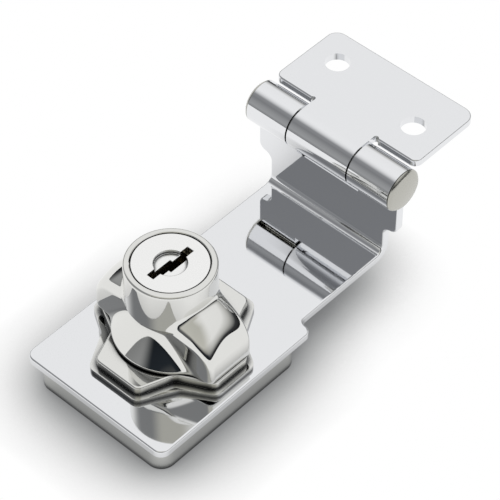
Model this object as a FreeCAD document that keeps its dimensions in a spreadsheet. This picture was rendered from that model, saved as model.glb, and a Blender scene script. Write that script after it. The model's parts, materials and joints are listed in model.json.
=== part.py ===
import FreeCAD, Part
import os
import re
import Sketcher
from FreeCAD import Placement, Rotation, Vector

# Keyed hasp lock, in millimetres: +Z up from the surface that the strike is screwed to, +Y towards
# the hinge, +X across the plate. The origin is on that surface, under the knob's turning axis.

# Driving dimensions: alias, value, what it is
SIZES = (
    ("sheet", 1.5, "thickness of the folded hasp plate and of the leaf"),
    ("sheet_edge", 0.4, "rounding of the plate's and the leaf's upper edges"),
    ("plate_width", 33.0, "wide end of the hasp plate"),
    ("plate_front", 20.0, "knob axis to the plate's front edge"),
    ("plate_corner", 2.0, "corner radius of the wide end"),
    ("wide_end", 16.4, "knob axis to where the wide end starts to narrow"),
    ("jog", 3.0, "length over which the plate narrows"),
    ("strap_width", 27.2, "strap and neck of the riser"),
    ("bend_radius", 1.6, "inner radius of the fold under the riser"),
    ("hinge_reach", 40.9, "knob axis to hinge axis"),
    ("hinge_height", 25.05, "hinge axis above the mounting surface"),
    ("knuckle_radius", 4.15, "outer radius of the rolled knuckles"),
    ("roll_lead", 2.0, "radius of the small bend that leads into each outer knuckle"),
    ("roll_end", 250.0, "angle at which the outer roll stops, degrees from the leaf side"),
    ("leaf_roll_end", 345.0, "angle at which the middle roll stops, degrees"),
    ("neck_top", 12.2, "height at which the riser starts to widen"),
    ("neck_jog", 3.3, "height over which the riser widens"),
    ("window_sill", 18.8, "lower edge of the window for the middle knuckle"),
    ("middle_knuckle", 13.9, "length of the middle knuckle"),
    ("knuckle_gap", 0.35, "gap between neighbouring knuckles"),
    ("pin_radius", 2.6, "hinge pin"),
    ("pin_head", 4.1, "radius of the pin's head and of its cap"),
    ("pin_head_edge", 0.5, "straight edge of the head and the cap"),
    ("pin_head_dome", 0.4, "rise of the head and the cap at their middle"),
    ("pin_spigot", 1.5, "turned-down end of the pin in its cap"),
    ("cap_gap", 0.05, "play between the knuckles and the pin's head and cap"),
    ("leaf_overhang", 0.1, "how far the leaf stands out past the plate, each side"),
    ("leaf_front", 3.5, "hinge axis to the leaf's front edge beside the middle knuckle"),
    ("leaf_back", 20.1, "hinge axis to the leaf's back edge"),
    ("leaf_corner", 2.4, "back corners of the leaf"),
    ("leaf_ear", 1.6, "front corners of the leaf"),
    ("leaf_relief", 0.45, "radius of the small relief beside the middle knuckle"),
    ("leaf_hole", 2.35, "radius of the leaf's screw holes"),
    ("leaf_hole_pitch", 20.6, "distance between the leaf's holes across the leaf"),
    ("leaf_hole_far", 13.4, "hinge axis to the left hole"),
    ("leaf_hole_near", 10.2, "hinge axis to the right hole"),
    ("strike_width", 30.5, "strike box across"),
    ("strike_front", 18.8, "knob axis to the strike's front wall"),
    ("strike_back", 15.9, "knob axis to the strike's back wall"),
    ("strike_height", 5.85, "strike box"),
    ("strike_wall", 1.6, "side walls and top of the strike"),
    ("strike_corner", 2.9, "corner radius of the strike"),
    ("strike_edge", 0.5, "rounding of the strike's top edge"),
    ("strike_gap", 0.05, "play between the strike and the plate that closes on it"),
    ("strike_boss", 3.5, "radius of the strike's four screw bosses"),
    ("strike_hole", 2.1, "radius of the strike's screw holes"),
    ("strike_sink", 1.5, "depth of the countersinks"),
    ("strike_pitch_x", 22.0, "screw holes across"),
    ("strike_pitch_y", 23.4, "screw holes along"),
    ("catch_length", 18.0, "catch bar"),
    ("catch_width", 5.6, "catch bar"),
    ("catch_thick", 2.0, "catch bar"),
    ("catch_drop", 1.95, "strike top to the catch bar's upper face"),
    ("catch_boss", 3.1, "radius of the catch bar's boss"),
    ("catch_play", 0.4, "gap at the ends of the catch in the strike's slot"),
    ("slot_play", 0.3, "gap beside the catch's boss in the strike's slot"),
    ("swing_room", 1.9, "how much further the slot runs forward for the catch's swing"),
    ("slot_corner", 0.5, "corner radius of the slot's front end"),
    ("washer_thick", 0.3, "catch washer"),
    ("washer_radius", 3.3, "catch washer"),
    ("tang", 3.4, "square tang of the knob"),
    ("tang_play", 0.05, "gap round the tang, each side"),
    ("journal", 2.6, "radius of the knob's journal in the plate"),
    ("turn_play", 0.05, "radial play of turning pieces"),
    ("catch_screw_head", 2.3, "radius of the catch screw's head"),
    ("catch_screw_rise", 1.1, "height of the catch screw's head"),
    ("catch_screw_shank", 0.95, "radius of the catch screw's shank"),
    ("catch_screw_length", 5.0, "catch screw under its head"),
    ("seat_reach", 15.1, "knob axis to the end of each lobe's flange"),
    ("seat_half", 5.6, "half-width of the flange at the front and back lobes' ends"),
    ("seat_side", 4.6, "half-width of the flange at the side lobes' ends"),
    ("seat_waist_x", 9.5, "where two lobes' flanges meet, across"),
    ("seat_waist_y", 8.0, "where two lobes' flanges meet, along"),
    ("lobe_waist_x", 7.6, "where two raised lobes meet, across"),
    ("lobe_waist_y", 7.4, "where two raised lobes meet, along"),
    ("seat_flange", 0.9, "thickness of the flange"),
    ("seat_step", 1.0, "how far the raised lobe stands in from its flange"),
    ("seat_rise", 1.8, "raised lobes above the flange"),
    ("seat_corner", 1.8, "corner radius of the lobes"),
    ("seat_edge", 0.4, "rounding of the raised lobes' upper edges"),
    ("seat_screw_at", 11.4, "knob axis to each seat screw"),
    ("seat_screw_shank", 0.95, "radius of the seat screws"),
    ("seat_screw_sink", 0.9, "depth of a seat screw's head"),
    ("seat_screw_length", 3.2, "seat screws"),
    ("hub", 6.4, "radius of the knob's hub in the seat"),
    ("hub_gap", 0.1, "gap under the hub"),
    ("knob_gap", 0.15, "gap between the knob and the seat's lobes"),
    ("knob_radius", 8.15, "cylinder of the knob"),
    ("knob_top", 27.1, "top of the knob above the mounting surface"),
    ("knob_rim", 0.5, "rounding of the knob's top edge"),
    ("scoop_top", 18.6, "height at which the scoop starts"),
    ("scoop_radius", 5.2, "radius of the scoop's hollow"),
    ("skirt_radius", 10.4, "skirt of the knob"),
    ("skirt_edge", 0.75, "straight edge of the skirt"),
    ("wing_reach", 13.9, "knob axis to the wing's end"),
    ("wing_root", 7.2, "half-width of the wings at the knob's axis"),
    ("wing_tip", 4.6, "half-width of a wing at its end"),
    ("wing_top", 25.8, "height of the wings' slopes at the knob's axis"),
    ("wing_shoulder_x", 11.2, "shoulder of the wing, from the axis"),
    ("wing_shoulder_z", 20.8, "shoulder of the wing, height"),
    ("wing_bow", 15.0, "radius of the wing's outer curve"),
    ("wing_turn", 2.5, "rounding across the wing's shoulder"),
    ("wing_edge", 1.7, "rounding of the wings' edges"),
    ("lock_bore", 6.25, "bore of the knob for the lock"),
    ("face_bore", 6.95, "wider mouth of that bore, round the face"),
    ("lock_floor", 12.0, "bottom of that bore"),
    ("drive_hole", 2.3, "hole in the floor for the drive pin"),
    ("sleeve_radius", 6.2, "housing sleeve"),
    ("sleeve_top", 25.4, "housing sleeve"),
    ("sleeve_bottom", 13.2, "housing sleeve"),
    ("sleeve_groove", 5.3, "how far the sleeve's wafer grooves reach out"),
    ("plug_radius", 5.0, "key plug"),
    ("face_radius", 6.8, "face of the plug"),
    ("face_thick", 1.3, "face of the plug"),
    ("face_sink", 0.12, "face below the knob's rim"),
    ("face_pit", 2.95, "round pit in the face"),
    ("face_pit_depth", 0.8, "round pit in the face"),
    ("slot_length", 9.2, "key slot in the face"),
    ("slot_width", 2.0, "key slot in the face, across both halves"),
    ("slot_shift", 0.55, "step between the halves of the key slot"),
    ("slot_lap", 0.9, "how far each half of the key slot passes the middle"),
    ("keyway_length", 8.2, "keyway in the plug"),
    ("keyway_bottom", 14.6, "lower end of the keyway"),
    ("tail_radius", 4.0, "tail of the plug"),
    ("tail_bottom", 12.25, "tail of the plug"),
    ("clip_groove", 3.4, "radius of the clip's groove"),
    ("clip_radius", 5.6, "clip"),
    ("clip_thick", 0.4, "clip"),
    ("drive_offset", 1.2, "drive pin from the plug's axis"),
    ("drive_radius", 0.9, "drive pin"),
    ("drive_play", 0.1, "play of the drive pin in the bolt"),
    ("bolt_bottom", 8.35, "underside of the locking bolt"),
    ("bolt_thick", 1.3, "locking bolt"),
    ("bolt_half", 2.9, "half-width of the bolt's body"),
    ("bolt_nose", 1.9, "half-width of the bolt's nose"),
    ("bolt_tip", 6.0, "knob axis to the bolt's tip when drawn in"),
    ("bolt_shoulder", 2.0, "knob axis to the bolt's shoulder"),
    ("bolt_tail", 3.0, "knob axis to the bolt's back end"),
    ("bolt_play", 0.06, "play round the bolt"),
    ("bolt_throw", 1.7, "travel of the bolt"),
    ("notch_reach", 8.4, "how far the seat's notches reach out"),
    ("notch_floor", 8.1, "bottom of the notches"),
    ("wafer_pitch", 2.3, "from wafer to wafer"),
    ("wafer_first", 22.6, "middle of the uppermost wafer"),
    ("wafer_thick", 0.9, "wafer"),
    ("wafer_half", 2.1, "half-width of a wafer"),
    ("wafer_length", 8.8, "wafer"),
    ("wafer_window_half", 1.2, "half-width of a wafer's window"),
    ("wafer_window_length", 7.4, "wafer's window"),
    ("wafer_play", 0.05, "play of a wafer in its slot"),
    ("wafer_lift", 0.7, "travel of a wafer"),
    ("lug", 1.0, "how far a wafer's lug stands out"),
    ("lug_length", 1.0, "lug along the wafer"),
    ("spring_length", 2.0, "wafer spring as fitted"),
    ("spring_radius", 0.33, "wafer spring, to the wire's middle"),
    ("spring_wire", 0.1, "radius of the spring's wire"),
    ("spring_turns", 4.0, "turns of a wafer spring"),
    ("housing_pin_radius", 0.6, "pin through the knob into the sleeve"),
    ("housing_pin_at", 14.3, "height of that pin"),
    ("housing_pin_in", 5.4, "inner end of the pin, from the axis"),
    ("housing_pin_out", 7.4, "outer end of the pin, from the axis"),
)

# Places that follow from the sizes
PLACES = {
    "plate_under": "strike_height + strike_gap",
    "plate_top": "plate_under + sheet",
    "half_plate": "plate_width / 2",
    "half_strap": "strap_width / 2",
    "half_leaf": "half_plate + leaf_overhang",
    "jog_radius": "((half_plate - half_strap)^2 + jog^2) / (4 * (half_plate - half_strap))",
    "neck_radius": "((half_plate - half_strap)^2 + neck_jog^2) / (4 * (half_plate - half_strap))",
    "riser_front": "hinge_reach - sheet / 2",
    "riser_back": "hinge_reach + sheet / 2",
    "knuckle_inner": "knuckle_radius - sheet",
    "knuckle_mid": "knuckle_radius - sheet / 2",
    "lead_height": "sqrt(knuckle_mid^2 + 2 * knuckle_mid * roll_lead)",
    "lead_span": "knuckle_mid + roll_lead",
    "lead_start": "hinge_height - lead_height",
    "half_middle": "middle_knuckle / 2",
    "window_half": "half_middle + knuckle_gap",
    "leaf_top": "hinge_height + knuckle_radius",
    "leaf_under": "leaf_top - sheet",
    "leaf_front_y": "hinge_reach + leaf_front",
    "leaf_back_y": "hinge_reach + leaf_back",
    "strike_roof": "strike_height - strike_wall",
    "catch_top": "strike_height - catch_drop",
    "catch_bottom": "catch_top - catch_thick",
    "washer_top": "plate_under - turn_play",
    "washer_bottom": "washer_top - washer_thick",
    "slot_half": "catch_boss + slot_play",
    "flange_top": "plate_top + seat_flange",
    "seat_top": "flange_top + seat_rise",
    "knob_bottom": "seat_top + knob_gap",
    "hub_bottom": "plate_top + hub_gap",
    "face_top": "knob_top - face_sink",
    "face_bottom": "face_top - face_thick",
    "bolt_top": "bolt_bottom + bolt_thick",
    "channel_top": "bolt_top + bolt_play",
    "channel_bottom": "bolt_bottom - bolt_play",
    "drive_y": "drive_offset * sqrt(0.5)",
    "head_inner": "half_plate + cap_gap",
    "spring_x": "wafer_half + lug / 2",
}

doc = FreeCAD.newDocument("KeyedHaspLock")
sheet = doc.addObject("Spreadsheet::Sheet", "Sizes")
for row, (alias, number, meaning) in enumerate(SIZES, start=1):
    sheet.set(f"A{row}", meaning)
    sheet.set(f"B{row}", str(number))
    sheet.setAlias(f"B{row}", alias)
doc.recompute()
ALIASES = {alias for alias, number, meaning in SIZES}


def full(text):
    """Writes a size or place out as an expression on the spreadsheet."""
    def written(match):
        word = match.group(0)
        if word in ALIASES:
            return "Sizes." + word
        if word in PLACES:
            return "(" + full(PLACES[word]) + ")"
        return word
    return re.sub(r"[a-z_][a-z_0-9]*", written, str(text))


def value(text):
    """The number that an expression gives now."""
    return float(sheet.evalExpression(full(text)))


def bind(thing, prop, text):
    """Ties a property to the spreadsheet."""
    thing.setExpression(prop, full(text))


def new_body(label, **place):
    """A body, named for its piece, that may stand at a place of its own."""
    body = doc.addObject("PartDesign::Body", label)
    body.Label = label
    for direction, text in place.items():
        bind(body, f"Placement.Base.{direction}", text)
    doc.recompute()
    return body


def origin_part(body, role):
    """A plane or axis of the body's own origin."""
    return next(item for item in body.Origin.OriginFeatures if item.Role == role)


def new_sketch(body, name, plane, offset=None):
    """A sketch on one of the body's origin planes, moved along its normal if offset is given."""
    sketch = body.newObject("Sketcher::SketchObject", name)
    sketch.AttachmentSupport = (origin_part(body, plane), [""])
    sketch.MapMode = "FlatFace"
    if offset is not None:
        bind(sketch, "AttachmentOffset.Base.z", offset)
    return sketch


def hold_point(sketch, element, vertex, across, along):
    """Ties one point of a sketch to two expressions."""
    for kind, text, axis in (("DistanceX", across, -2), ("DistanceY", along, -1)):
        if text == "0":
            sketch.addConstraint(Sketcher.Constraint("PointOnObject", element, vertex, axis))
            continue
        index = sketch.addConstraint(Sketcher.Constraint(kind, -1, 1, element, vertex, value(text)))
        bind(sketch, f"Constraints[{index}]", text)


def hold_radius(sketch, element, text):
    """Ties the radius of a circle or an arc to an expression."""
    index = sketch.addConstraint(Sketcher.Constraint("Radius", element, value(text)))
    bind(sketch, f"Constraints[{index}]", text)


def circle(sketch, radius, across="0", along="0"):
    """A full circle."""
    middle = Vector(value(across), value(along), 0)
    element = sketch.addGeometry(Part.Circle(middle, Vector(0, 0, 1), value(radius)))
    hold_point(sketch, element, 3, across, along)
    hold_radius(sketch, element, radius)


def arc_between(start, end, radius, left):
    """An arc under half a turn from start to end that turns left or right on its way."""
    chord = end - start
    half = chord.Length / 2
    rise = max(radius * radius - half * half, 0.0) ** 0.5
    inward = Vector(-chord.y, chord.x, 0).normalize() * (1 if left else -1)
    bulge = (start + end) / 2 + inward * (rise - radius)
    return Part.Arc(start, bulge, end) if left else Part.Arc(end, bulge, start)


def outline(sketch, *corners):
    """A closed outline. A corner is (across, along), reached by a straight line, or
    (across, along, radius, turn), reached by an arc that turns "left" or "right"."""
    points = [Vector(value(corner[0]), value(corner[1]), 0) for corner in corners]
    ends = []
    for index, corner in enumerate(corners):
        start, end = points[index - 1], points[index]
        if len(corner) == 2:
            element = sketch.addGeometry(Part.LineSegment(start, end))
            ends.append((element, 1, 2))
            continue
        left = corner[3] == "left"
        element = sketch.addGeometry(arc_between(start, end, value(corner[2]), left))
        ends.append((element, 1, 2) if left else (element, 2, 1))
        hold_radius(sketch, element, corner[2])
    for index, corner in enumerate(corners):
        element, first, last = ends[index]
        following, entry, leaving = ends[(index + 1) % len(ends)]
        sketch.addConstraint(Sketcher.Constraint("Coincident", element, last, following, entry))
        hold_point(sketch, element, last, corner[0], corner[1])


def mirrored(corners):
    """The same outline on the other side of the sketch's upright axis, walked the same way round."""
    turned = []
    for index in range(len(corners) - 1, -1, -1):
        following = corners[(index + 1) % len(corners)]
        turned.append((f"-({corners[index][0]})", corners[index][1]) + tuple(following[2:]))
    return turned


def boxed(left, low, right, high):
    """The corners of an upright rectangle."""
    return (right, low), (right, high), (left, high), (left, low)


def step(body, kind, name, profile, **settings):
    """One feature on a profile."""
    feature = body.newObject(f"PartDesign::{kind}", name)
    feature.Profile = profile
    for prop, setting in settings.items():
        if isinstance(setting, str) and prop in ("Length", "Angle"):
            bind(feature, prop, setting)
        else:
            setattr(feature, prop, setting)
    doc.recompute()
    return feature


def cut_through(body, name, profile):
    """A pocket right through, both ways from its sketch."""
    return step(body, "Pocket", name, profile, Type="ThroughAll", SideType="Symmetric")


def turned(body, kind, name, profile, axis):
    """A full revolution or groove about an axis."""
    return step(body, kind, name, profile, ReferenceAxis=axis, Angle=360.0)


def repeat_round(body, name, features, count):
    """Copies of features, or of the whole body if none are named, evenly round its upright axis."""
    pattern = body.newObject("PartDesign::PolarPattern", name)
    if features:
        pattern.Originals = features
    else:
        pattern.TransformMode = "Whole shape"
    pattern.Axis = (origin_part(body, "Z_Axis"), [""])
    pattern.Angle = 360.0
    pattern.Occurrences = count
    body.Tip = pattern
    doc.recompute()
    return pattern


def edges_where(feature, wanted):
    """The names of the edges of a feature that a test accepts."""
    return [f"Edge{number}" for number, edge in enumerate(feature.Shape.Edges, start=1) if wanted(edge)]


def round_edges(body, name, feature, radius, wanted):
    """A fillet on the edges that a test accepts."""
    fillet = body.newObject("PartDesign::Fillet", name)
    fillet.Base = (feature, edges_where(feature, wanted))
    bind(fillet, "Radius", radius)
    doc.recompute()
    return fillet


def upright(edge):
    """True for a straight edge along Z."""
    box = edge.BoundBox
    return box.ZLength > 1e-3 and box.XLength < 1e-4 and box.YLength < 1e-4


def level(edge, height):
    """True for an edge that lies at one height."""
    box = edge.BoundBox
    return abs(box.ZMin - height) < 1e-4 and abs(box.ZMax - height) < 1e-4


# Hasp plate: side profile with the fold and the outer knuckles, then the plan and the neck cut to shape

def on_roll(radius, angle):
    """A point of a roll round the hinge axis, as expressions."""
    return (f"hinge_reach + {radius} * cos({angle})", f"hinge_height + {radius} * sin({angle})")


def lead_point(distance):
    """A point on the line from the lead-in bend's middle to the hinge axis, as expressions."""
    share = f"({distance}) / lead_span"
    return (f"hinge_reach + roll_lead * {share}", f"hinge_height - lead_height * {share}")


plate = new_body("hasp_plate")
side = new_sketch(plate, "plate_side", "YZ_Plane")
outline(
    side,
    ("-plate_front", "plate_under"),
    ("riser_front - bend_radius", "plate_under"),
    ("riser_back", "plate_top + bend_radius", "bend_radius + sheet", "left"),
    ("riser_back", "lead_start"),
    lead_point("knuckle_radius") + ("roll_lead - sheet / 2", "right"),
    on_roll("knuckle_radius", "40") + ("knuckle_radius", "left"),
    on_roll("knuckle_radius", "150") + ("knuckle_radius", "left"),
    on_roll("knuckle_radius", "roll_end") + ("knuckle_radius", "left"),
    on_roll("knuckle_inner", "roll_end"),
    on_roll("knuckle_inner", "150") + ("knuckle_inner", "right"),
    on_roll("knuckle_inner", "40") + ("knuckle_inner", "right"),
    lead_point("knuckle_inner") + ("knuckle_inner", "right"),
    ("riser_front", "lead_start", "roll_lead + sheet / 2", "left"),
    ("riser_front", "plate_top + bend_radius"),
    ("riser_front - bend_radius", "plate_top", "bend_radius", "right"),
    ("-plate_front", "plate_top"),
)
folded = step(plate, "Pad", "folded_sheet", side, Length="plate_width", SideType="Symmetric")

plan = new_sketch(plate, "strap_sides", "XY_Plane")
strap_side = (
    ("half_plate", "wide_end"),
    ("(half_plate + half_strap) / 2", "wide_end + jog / 2", "jog_radius", "left"),
    ("half_strap", "wide_end + jog", "jog_radius", "right"),
    ("half_strap", "hinge_reach + knuckle_radius + sheet"),
    ("plate_width", "hinge_reach + knuckle_radius + sheet"),
    ("plate_width", "wide_end"),
)
outline(plan, *strap_side)
outline(plan, *mirrored(strap_side))
strap = step(plate, "Pocket", "strap_cut", plan, Length="neck_top", Reversed=True)

neck = new_sketch(plate, "neck_sides", "XZ_Plane")
neck_side = (
    ("half_strap", "neck_top"),
    ("(half_plate + half_strap) / 2", "neck_top + neck_jog / 2", "neck_radius", "right"),
    ("half_plate", "neck_top + neck_jog", "neck_radius", "left"),
    ("plate_width", "neck_top + neck_jog"),
    ("plate_width", "neck_top"),
)
outline(neck, *neck_side)
outline(neck, *mirrored(neck_side))
cut_through(plate, "neck_cut", neck)

window = new_sketch(plate, "middle_window", "XZ_Plane")
outline(window, *boxed("-window_half", "window_sill", "window_half", "leaf_top + sheet"))
cut_through(plate, "window_cut", window)

journal_hole = new_sketch(plate, "journal_hole", "XY_Plane")
circle(journal_hole, "journal + turn_play")
bored = cut_through(plate, "journal_bore", journal_hole)

rivet = new_sketch(plate, "seat_screw_hole", "XZ_Plane")
outline(
    rivet,
    ("seat_screw_at", "plate_under"),
    ("seat_screw_at + seat_screw_shank + seat_screw_sink", "plate_under"),
    ("seat_screw_at + seat_screw_shank", "plate_under + seat_screw_sink"),
    ("seat_screw_at + seat_screw_shank", "plate_top"),
    ("seat_screw_at", "plate_top"),
)
sunk = turned(plate, "Groove", "seat_screw_sink", rivet, (rivet, ["Edge1"]))
screw_holes = repeat_round(plate, "seat_screw_sinks", [sunk], 4)


def front_corner(edge):
    """True for the two upright edges at the plate's front."""
    return upright(edge) and edge.BoundBox.YMax < value("1 - plate_front")


corners = round_edges(plate, "front_corners", screw_holes, "plate_corner", front_corner)


def plate_rim(edge):
    """True for the outer edges of the plate's upper face."""
    box = edge.BoundBox
    outer = max(abs(box.XMin), abs(box.XMax)) > value("half_strap - 0.1")
    inside = box.YMax < value("riser_front - bend_radius + 0.01")
    return level(edge, value("plate_top")) and inside and (outer or box.YMax < value("-seat_reach"))


round_edges(plate, "plate_rim", corners, "sheet_edge", plate_rim)

# Hinge pin and its cap, turned about the hinge axis

pin = new_body("hinge_pin", y="hinge_reach", z="hinge_height")
pin_side = new_sketch(pin, "pin_side", "XZ_Plane")
outline(
    pin_side,
    ("-head_inner - pin_head_edge / 2", "0"),
    ("head_inner + pin_head_edge + pin_head_dome", "0"),
    ("head_inner + pin_head_edge", "pin_head", "(pin_head^2 + pin_head_dome^2) / (2 * pin_head_dome)", "left"),
    ("head_inner", "pin_head"),
    ("head_inner", "pin_radius"),
    ("-head_inner", "pin_radius"),
    ("-head_inner", "pin_spigot"),
    ("-head_inner - pin_head_edge / 2", "pin_spigot"),
)
turned(pin, "Revolution", "pin_turned", pin_side, (origin_part(pin, "X_Axis"), [""]))

cap = new_body("pin_cap", y="hinge_reach", z="hinge_height")
cap_side = new_sketch(cap, "cap_side", "XZ_Plane")
outline(
    cap_side,
    ("-head_inner", "pin_spigot"),
    ("-head_inner", "pin_head"),
    ("-head_inner - pin_head_edge", "pin_head"),
    ("-head_inner - pin_head_edge - pin_head_dome", "0",
     "(pin_head^2 + pin_head_dome^2) / (2 * pin_head_dome)", "left"),
    ("-head_inner - pin_head_edge / 2", "0"),
    ("-head_inner - pin_head_edge / 2", "pin_spigot"),
)
turned(cap, "Revolution", "cap_turned", cap_side, (origin_part(cap, "X_Axis"), [""]))

# Hinge leaf: flat sheet rolled into the middle knuckle

leaf = new_body("hinge_leaf")
leaf_side = new_sketch(leaf, "leaf_side", "YZ_Plane")
outline(
    leaf_side,
    ("leaf_back_y", "leaf_top"),
    ("hinge_reach", "leaf_top"),
    ("hinge_reach - knuckle_radius", "hinge_height", "knuckle_radius", "left"),
    on_roll("knuckle_radius", "265") + ("knuckle_radius", "left"),
    on_roll("knuckle_radius", "leaf_roll_end") + ("knuckle_radius", "left"),
    on_roll("knuckle_inner", "leaf_roll_end"),
    on_roll("knuckle_inner", "265") + ("knuckle_inner", "right"),
    ("hinge_reach - knuckle_inner", "hinge_height", "knuckle_inner", "right"),
    ("hinge_reach", "leaf_under", "knuckle_inner", "right"),
    ("leaf_back_y", "leaf_under"),
)
step(leaf, "Pad", "leaf_sheet", leaf_side, Length="2 * half_leaf", SideType="Symmetric")
leaf_plan = new_sketch(leaf, "leaf_plan", "XY_Plane")
beside_knuckle = (
    ("half_middle", "hinge_reach - 2 * knuckle_radius"),
    ("2 * half_leaf", "hinge_reach - 2 * knuckle_radius"),
    ("2 * half_leaf", "leaf_front_y"),
    ("half_middle + 2 * leaf_relief", "leaf_front_y"),
    ("half_middle + leaf_relief", "leaf_front_y + leaf_relief", "leaf_relief", "left"),
    ("half_middle", "leaf_front_y", "leaf_relief", "left"),
)
outline(leaf_plan, *beside_knuckle)
outline(leaf_plan, *mirrored(beside_knuckle))
cut_through(leaf, "knuckle_sides", leaf_plan)
roll_plan = new_sketch(leaf, "roll_plan", "XY_Plane", "leaf_under")
beside_roll = boxed("half_middle", "hinge_reach", "2 * half_leaf", "hinge_reach + 2 * knuckle_radius")
outline(roll_plan, *beside_roll)
outline(roll_plan, *mirrored(beside_roll))
step(leaf, "Pocket", "roll_sides", roll_plan, Length="2 * knuckle_radius")
leaf_holes = new_sketch(leaf, "leaf_holes", "XY_Plane")
circle(leaf_holes, "leaf_hole", "-leaf_hole_pitch / 2", "hinge_reach + leaf_hole_far")
circle(leaf_holes, "leaf_hole", "leaf_hole_pitch / 2", "hinge_reach + leaf_hole_near")
holed = cut_through(leaf, "leaf_screw_holes", leaf_holes)


def leaf_back_corner(edge):
    """True for the upright edges at the leaf's back."""
    return upright(edge) and edge.BoundBox.YMin > value("leaf_back_y - 0.01")


def leaf_front_corner(edge):
    """True for the upright edges at the leaf's outer front corners."""
    outer = abs(edge.BoundBox.XMax) > value("half_leaf - 0.01")
    return upright(edge) and outer and edge.BoundBox.YMin < value("leaf_front_y + 0.01")


holed = round_edges(leaf, "leaf_back_corners", holed, "leaf_corner", leaf_back_corner)
holed = round_edges(leaf, "leaf_front_corners", holed, "leaf_ear", leaf_front_corner)


def leaf_rim(edge):
    """True for the outer edges of the leaf's upper face."""
    box = edge.BoundBox
    beside = max(abs(box.XMin), abs(box.XMax)) > value("half_middle + 2 * leaf_relief + 0.01")
    hole = edge.Closed
    return level(edge, value("leaf_top")) and beside and not hole


round_edges(leaf, "leaf_rim", holed, "min(sheet_edge; leaf_relief - 0.05)", leaf_rim)

# Strike: an open-bottomed cast box with four screw bosses and the catch's slot

strike = new_body("strike_base")
strike_plan = new_sketch(strike, "strike_plan", "XY_Plane")
outline(strike_plan, *boxed("-strike_width / 2", "-strike_front", "strike_width / 2", "strike_back"))
block = step(strike, "Pad", "strike_block", strike_plan, Length="strike_height")
block = round_edges(strike, "strike_corners", block, "strike_corner", upright)
round_edges(strike, "strike_rim", block, "strike_edge", lambda edge: level(edge, value("strike_height")))
strike_hollow = new_sketch(strike, "strike_hollow", "XY_Plane")
outline(strike_hollow, *boxed("strike_wall - strike_width / 2", "strike_wall - strike_front",
                              "strike_width / 2 - strike_wall", "strike_back - strike_wall"))
step(strike, "Pocket", "hollow_cut", strike_hollow, Length="strike_roof", Reversed=True)
SCREW_PLACES = [
    (f"{across} * strike_pitch_x / 2", f"{along} * strike_pitch_y / 2")
    for across in (-1, 1) for along in (-1, 1)
]
bosses = new_sketch(strike, "boss_circles", "XY_Plane")
for across, along in SCREW_PLACES:
    circle(bosses, "strike_boss", across, along)
step(strike, "Pad", "bosses", bosses, Length="strike_height")
strike_holes = new_sketch(strike, "strike_holes", "XY_Plane")
for across, along in SCREW_PLACES:
    circle(strike_holes, "strike_hole", across, along)
drilled = cut_through(strike, "strike_screw_holes", strike_holes)


def hole_mouth(edge):
    """True for the upper rim of a screw hole."""
    round_edge = isinstance(edge.Curve, Part.Circle)
    return round_edge and edge.Closed and level(edge, value("strike_height"))


sinks = strike.newObject("PartDesign::Chamfer", "countersinks")
sinks.Base = (drilled, edges_where(drilled, hole_mouth))
bind(sinks, "Size", "strike_sink")
doc.recompute()
slot = new_sketch(strike, "catch_slot", "XY_Plane")
outline(
    slot,
    ("slot_half", "-catch_length / 2 - catch_play - swing_room + slot_corner", "slot_corner", "left"),
    ("slot_half", "catch_length / 2 + catch_play"),
    ("-slot_half", "catch_length / 2 + catch_play"),
    ("-slot_half", "-catch_length / 2 - catch_play - swing_room + slot_corner"),
    ("slot_corner - slot_half", "-catch_length / 2 - catch_play - swing_room", "slot_corner", "left"),
    ("slot_half - slot_corner", "-catch_length / 2 - catch_play - swing_room"),
)
cut_through(strike, "slot_cut", slot)

# Seat: a cross of four lobes, each a thin flange with a raised block

def cross(reach, half, half_side, waist_x, waist_y):
    """The outline of a cross whose lobes narrow outwards; the lobes along X are half_side wide each side."""
    corners = (
        (f"-({half})", f"-({reach})"),
        (half, f"-({reach})"),
        (waist_x, f"-({waist_y})"),
        (reach, f"-({half_side})"),
        (reach, half_side),
        (waist_x, waist_y),
    )
    return corners + tuple((f"-({across})", f"-({along})") for across, along in corners)


seat = new_body("knob_seat")
flange_plan = new_sketch(seat, "flange_plan", "XY_Plane", "plate_top")
outline(flange_plan, *cross("seat_reach", "seat_half", "seat_side", "seat_waist_x", "seat_waist_y"))
flange = step(seat, "Pad", "flange", flange_plan, Length="seat_flange")
flange = round_edges(seat, "flange_corners", flange, "seat_corner", upright)
lobe_plan = new_sketch(seat, "lobe_plan", "XY_Plane", "plate_top")
outline(lobe_plan, *cross("seat_reach - seat_step", "seat_half - seat_step * 0.6", "seat_side - seat_step * 0.6",
                           "lobe_waist_x", "lobe_waist_y"))
lobes = step(seat, "Pad", "lobes", lobe_plan, Length="seat_flange + seat_rise")


def lobe_corner(edge):
    """True for an upright edge of the raised lobes."""
    return upright(edge) and edge.BoundBox.ZMax > value("seat_top - 0.01")


lobes = round_edges(seat, "lobe_corners", lobes, "seat_corner - 0.3", lobe_corner)
lobes = round_edges(seat, "lobe_rim", lobes, "seat_edge", lambda edge: level(edge, value("seat_top")))
seat_bore = new_sketch(seat, "seat_bore", "XY_Plane")
circle(seat_bore, "hub + turn_play")
cut_through(seat, "hub_bore", seat_bore)
notch_plan = new_sketch(seat, "notch_plan", "XY_Plane", "notch_floor")
outline(notch_plan, *boxed("-bolt_nose - 2 * bolt_play", "-notch_reach", "bolt_nose + 2 * bolt_play", "-hub / 2"))
notch = step(seat, "Pocket", "notch", notch_plan, Length="seat_rise + seat_flange", Reversed=True)
notches = repeat_round(seat, "notches", [notch], 4)
tapped_plan = new_sketch(seat, "tapped_plan", "XY_Plane", "plate_top")
circle(tapped_plan, "seat_screw_shank", "seat_screw_at")
tapped = step(seat, "Pocket", "tapped_hole", tapped_plan,
              Length="seat_screw_length - sheet", Reversed=True)
repeat_round(seat, "tapped_holes", [tapped], 4)

# Seat screws: four countersunk screws, flush with the plate's underside

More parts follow.
